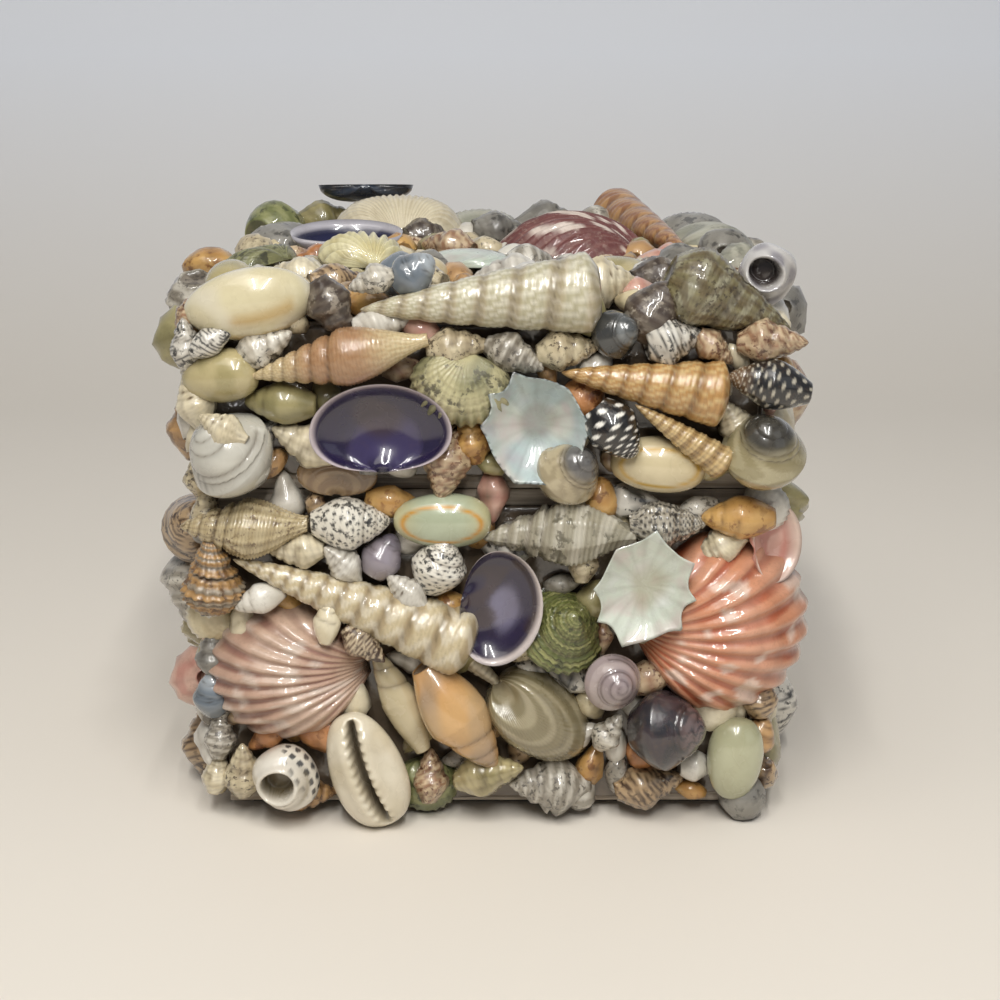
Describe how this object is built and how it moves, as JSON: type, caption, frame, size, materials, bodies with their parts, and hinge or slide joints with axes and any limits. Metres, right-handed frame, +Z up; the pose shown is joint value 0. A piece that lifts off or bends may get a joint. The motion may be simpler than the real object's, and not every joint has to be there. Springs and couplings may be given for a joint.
{
  "type": "shell-covered box",
  "caption": "Square lidded wooden box with its sides and lift-off lid covered in glued, varnished seashells; hollow and empty inside.",
  "frame": {"origin": "centre of the underside of the base pad", "axes": "+Z up through the lid, -Y out of the front, +X to the right seen from the front"},
  "size_m": [0.1324, 0.1325, 0.1129],
  "materials": {
    "shell_nacre": "varnished seashell",
    "shell_violet": "varnished seashell",
    "shell_dark": "varnished seashell",
    "shell_spotted": "varnished seashell",
    "shell_coral": "varnished seashell",
    "shell_pink": "varnished seashell",
    "shell_maroon": "varnished seashell",
    "shell_green": "varnished seashell",
    "shell_orange": "varnished seashell",
    "shell_mauve": "varnished seashell",
    "shell_olive": "varnished seashell",
    "shell_cream": "varnished seashell",
    "wood": "white-washed bare wood, fine grain",
    "pad": "thin black felt"
  },
  "bodies": {
    "root": {"star_limpet_lid": "shell_nacre", "clam_violet_lid": "shell_violet", "snail_black_dotted": "shell_dark", "auger_thin": "shell_cream", "auger_cream": "shell_cream", "spindle_tan": "shell_orange", "cockle_mottled": "shell_olive", "auger_golden": "shell_orange", "whelk_black_spire": "shell_dark", "moon_snail_olive": "shell_olive", "moon_snail_seam": "shell_olive", "cowrie_ring_lid": "shell_cream", "clam_amber": "shell_orange", "cowrie_money_lid": "shell_cream", "moon_snail_pearl": "shell_cream", "moon_snail_dark": "shell_dark", "whelk_conical": "shell_olive", "snail_open_lid": "shell_cream", "auger_orange": "shell_orange", "scallop_maroon": "shell_maroon", "mussel_dark": "shell_dark", "clam_cream_dome": "shell_cream", "clam_violet_top": "shell_violet", "cockle_ribbed": "shell_cream", "shell_pearl_flat": "shell_nacre", "limpet_olive": "shell_green", "star_limpet_body": "shell_nacre", "clam_violet_body": "shell_violet", "clam_pink": "shell_pink", "moon_snail_mauve": "shell_mauve", "cowrie_money_body": "shell_cream", "snail_open_body": "shell_cream", "nassa_beaded": "shell_orange", "auger_body": "shell_cream", "scallop_coral": "shell_coral", "scallop_pink": "shell_pink", "conch_lipped": "shell_orange", "whelk_netted": "shell_cream", "snail_spotted_mid": "shell_spotted", "snail_spotted_left": "shell_spotted", "cowrie_ring_body": "shell_cream", "whelk_knobbly": "shell_olive", "nassa_grey": "shell_spotted", "turban_green": "shell_green", "whelk_fragment": "shell_olive", "nerite_purple": "shell_dark", "olive_shell": "shell_cream", "cowrie_green": "shell_green", "lid_front_smalls": "shell_cream", "body_front_smalls": "shell_cream", "lid_top_smalls": "shell_cream", "lid_back_shells": "shell_cream", "body_back_shells": "shell_cream", "lid_left_shells": "shell_cream", "body_left_shells": "shell_cream", "lid_right_shells": "shell_cream", "body_right_shells": "shell_cream", "box_body": "wood", "box_lid": "wood", "base_pad": "pad"}
  },
  "joints": []
}
